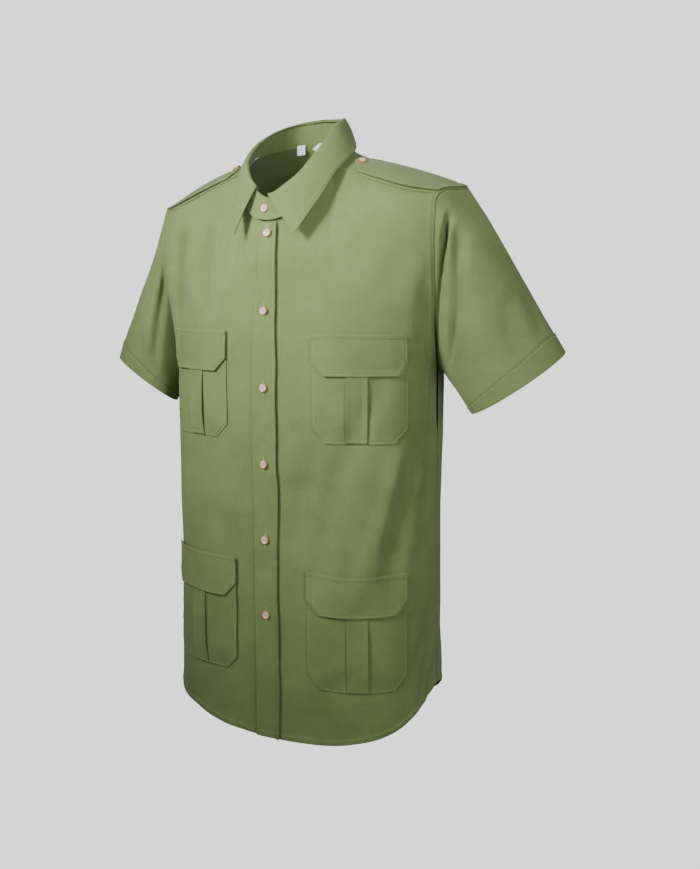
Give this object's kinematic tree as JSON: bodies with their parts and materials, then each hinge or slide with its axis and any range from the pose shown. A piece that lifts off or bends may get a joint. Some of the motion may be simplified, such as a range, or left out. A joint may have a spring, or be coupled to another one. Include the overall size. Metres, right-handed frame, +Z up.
{
  "type": "short-sleeved utility shirt",
  "caption": "Hollow short-sleeved button-front shirt, filled out as worn, with a pointed collar, buttoned shoulder tabs and flapped, box-pleated patch pockets.",
  "frame": {"origin": "middle of the neck opening, where the wearer's neck and shoulders hold the shirt", "axes": "+Z up along the centre line, +X to the wearer's left, the buttoned front faces -Y"},
  "size_m": [0.6819, 0.2372, 0.8108],
  "materials": {
    "cloth": "matte cotton twill",
    "button": "polished pearl with a mottled rim",
    "tab": "smooth woven ribbon"
  },
  "bodies": {
    "root": {"front_left": "cloth", "front_right": "cloth", "back": "cloth", "yoke": "cloth", "sleeve_left": "cloth", "cuff_left": "cloth", "sleeve_right": "cloth", "cuff_right": "cloth", "collar_stand": "cloth", "collar_leaf": "cloth", "placket_band": "cloth", "chest_pocket_left": "cloth", "chest_pocket_left_flap": "cloth", "chest_pocket_left_pleat": "cloth", "chest_pocket_right": "cloth", "chest_pocket_right_flap": "cloth", "chest_pocket_right_pleat": "cloth", "hip_pocket_left": "cloth", "hip_pocket_left_flap": "cloth", "hip_pocket_left_pleat": "cloth", "hip_pocket_right": "cloth", "hip_pocket_right_flap": "cloth", "hip_pocket_right_pleat": "cloth", "epaulette_left": "cloth", "epaulette_right": "cloth", "button_1": "button", "button_2": "button", "button_3": "button", "button_4": "button", "button_5": "button", "button_6": "button", "button_collar": "button", "button_epaulette_left": "button", "button_epaulette_right": "button", "size_tab": "tab", "neck_label": "tab"}
  },
  "joints": []
}
